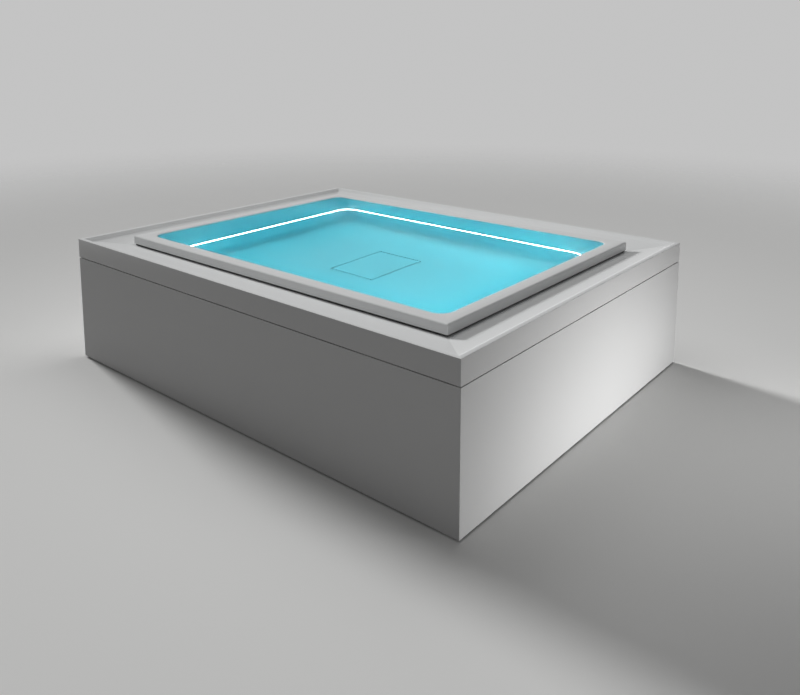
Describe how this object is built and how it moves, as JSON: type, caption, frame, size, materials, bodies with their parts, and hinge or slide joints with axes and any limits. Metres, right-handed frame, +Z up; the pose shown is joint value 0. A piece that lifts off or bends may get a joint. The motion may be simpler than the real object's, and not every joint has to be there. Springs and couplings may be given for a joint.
{
  "type": "hydromassage spa",
  "caption": "Free-standing rectangular overflow hydromassage pool: clad steel frame, overflow tray round a raised basin rim, lit wall slot, floor cover, and pump, filter and heater inside.",
  "frame": {"origin": "on the ground under the middle of the pool", "axes": "+X along the long side, +Z up, front cladding panel towards -Y"},
  "size_m": [2.3, 1.82, 0.615],
  "materials": {
    "laminate": "fine matt laminate",
    "acrylic": "white satin acrylic",
    "light": "opal light diffuser",
    "water": "clear lit water",
    "steel": "galvanised",
    "pipe_plastic": "smooth pipe plastic",
    "casing": "moulded, fine grain",
    "black_plastic": "moulded, matt",
    "filter_paper": "pleated fleece",
    "cast": "cast"
  },
  "bodies": {
    "pool": {"overflow_tray": "acrylic", "basin_shell": "acrylic", "light_strip": "light", "suction_sump": "acrylic", "overflow_grille_front": "black_plastic", "overflow_grille_back": "black_plastic", "overflow_grille_left": "black_plastic", "overflow_grille_right": "black_plastic", "base_rail_front": "steel", "base_rail_back": "steel", "base_rail_left": "steel", "base_rail_right": "steel", "top_rail_front": "steel", "top_rail_back": "steel", "top_rail_left": "steel", "top_rail_right": "steel", "corner_post_front_left": "steel", "corner_post_front_right": "steel", "corner_post_back_left": "steel", "corner_post_back_right": "steel", "cross_member_left": "steel", "cross_member_right": "steel", "floor_bearer_front": "steel", "floor_bearer_back": "steel", "equipment_tray_left": "steel", "equipment_tray_right": "steel", "pump_volute": "casing", "pump_motor": "cast", "motor_fan_cover": "black_plastic", "filter_housing": "casing", "filter_cartridge": "filter_paper", "heater_body": "cast", "air_blower": "casing", "control_box": "casing", "control_lid": "black_plastic", "balance_tank": "pipe_plastic", "water_manifold": "pipe_plastic", "air_manifold": "pipe_plastic", "suction_tee": "pipe_plastic", "drain_line": "pipe_plastic", "suction_pipe": "pipe_plastic", "return_pipe": "pipe_plastic", "pressure_pipe": "pipe_plastic", "delivery_pipe": "pipe_plastic", "air_pipe": "pipe_plastic", "overflow_pipe": "pipe_plastic"},
    "front_panel": {"front_panel": "laminate"},
    "back_panel": {"back_panel": "laminate"},
    "left_panel": {"left_panel": "laminate"},
    "right_panel": {"right_panel": "laminate"},
    "floor_cover": {"floor_cover": "acrylic"},
    "pump_rotor": {"pump_rotor": "cast"},
    "filter_lid": {"filter_lid": "black_plastic"},
    "drain_valve_handle": {"drain_valve_handle": "black_plastic"},
    "levelling_foot_1": {"levelling_foot_1": "black_plastic"},
    "levelling_foot_2": {"levelling_foot_2": "black_plastic"},
    "levelling_foot_3": {"levelling_foot_3": "black_plastic"},
    "levelling_foot_4": {"levelling_foot_4": "black_plastic"},
    "levelling_foot_5": {"levelling_foot_5": "black_plastic"},
    "levelling_foot_6": {"levelling_foot_6": "black_plastic"}
  },
  "joints": [
    {"name": "front_panel_pull", "type": "slide", "parent": "pool", "child": "front_panel", "axis": [0, -1, 0], "range_m": [0, 0.25]},
    {"name": "back_panel_pull", "type": "slide", "parent": "pool", "child": "back_panel", "axis": [0, 1, 0], "range_m": [0, 0.25]},
    {"name": "left_panel_pull", "type": "slide", "parent": "pool", "child": "left_panel", "axis": [-1, 0, 0], "range_m": [0, 0.25]},
    {"name": "right_panel_pull", "type": "slide", "parent": "pool", "child": "right_panel", "axis": [1, 0, 0], "range_m": [0, 0.25]},
    {"name": "floor_cover_lift", "type": "slide", "parent": "pool", "child": "floor_cover", "axis": [0, 0, 1], "range_m": [0, 0.3]},
    {"name": "pump_rotor_spin", "type": "hinge", "parent": "pool", "child": "pump_rotor", "pos_m": [0.9837, 0.1, 0.1886], "axis": [0, 1, 0], "continuous": true},
    {"name": "filter_lid_turn", "type": "hinge", "parent": "pool", "child": "filter_lid", "pos_m": [0.9837, -0.328, 0.39], "axis": [0, 0, 1], "range_deg": [0, 90]},
    {"name": "drain_valve_turn", "type": "hinge", "parent": "pool", "child": "drain_valve_handle", "pos_m": [-0.9, 0, 0.177], "axis": [0, 0, 1], "range_deg": [0, 90]},
    {"name": "foot_1_level", "type": "slide", "parent": "pool", "child": "levelling_foot_1", "axis": [0, 0, -1], "range_m": [-0.004, 0.015]},
    {"name": "foot_2_level", "type": "slide", "parent": "pool", "child": "levelling_foot_2", "axis": [0, 0, -1], "range_m": [-0.004, 0.015]},
    {"name": "foot_3_level", "type": "slide", "parent": "pool", "child": "levelling_foot_3", "axis": [0, 0, -1], "range_m": [-0.004, 0.015]},
    {"name": "foot_4_level", "type": "slide", "parent": "pool", "child": "levelling_foot_4", "axis": [0, 0, -1], "range_m": [-0.004, 0.015]},
    {"name": "foot_5_level", "type": "slide", "parent": "pool", "child": "levelling_foot_5", "axis": [0, 0, -1], "range_m": [-0.004, 0.015]},
    {"name": "foot_6_level", "type": "slide", "parent": "pool", "child": "levelling_foot_6", "axis": [0, 0, -1], "range_m": [-0.004, 0.015]}
  ]
}
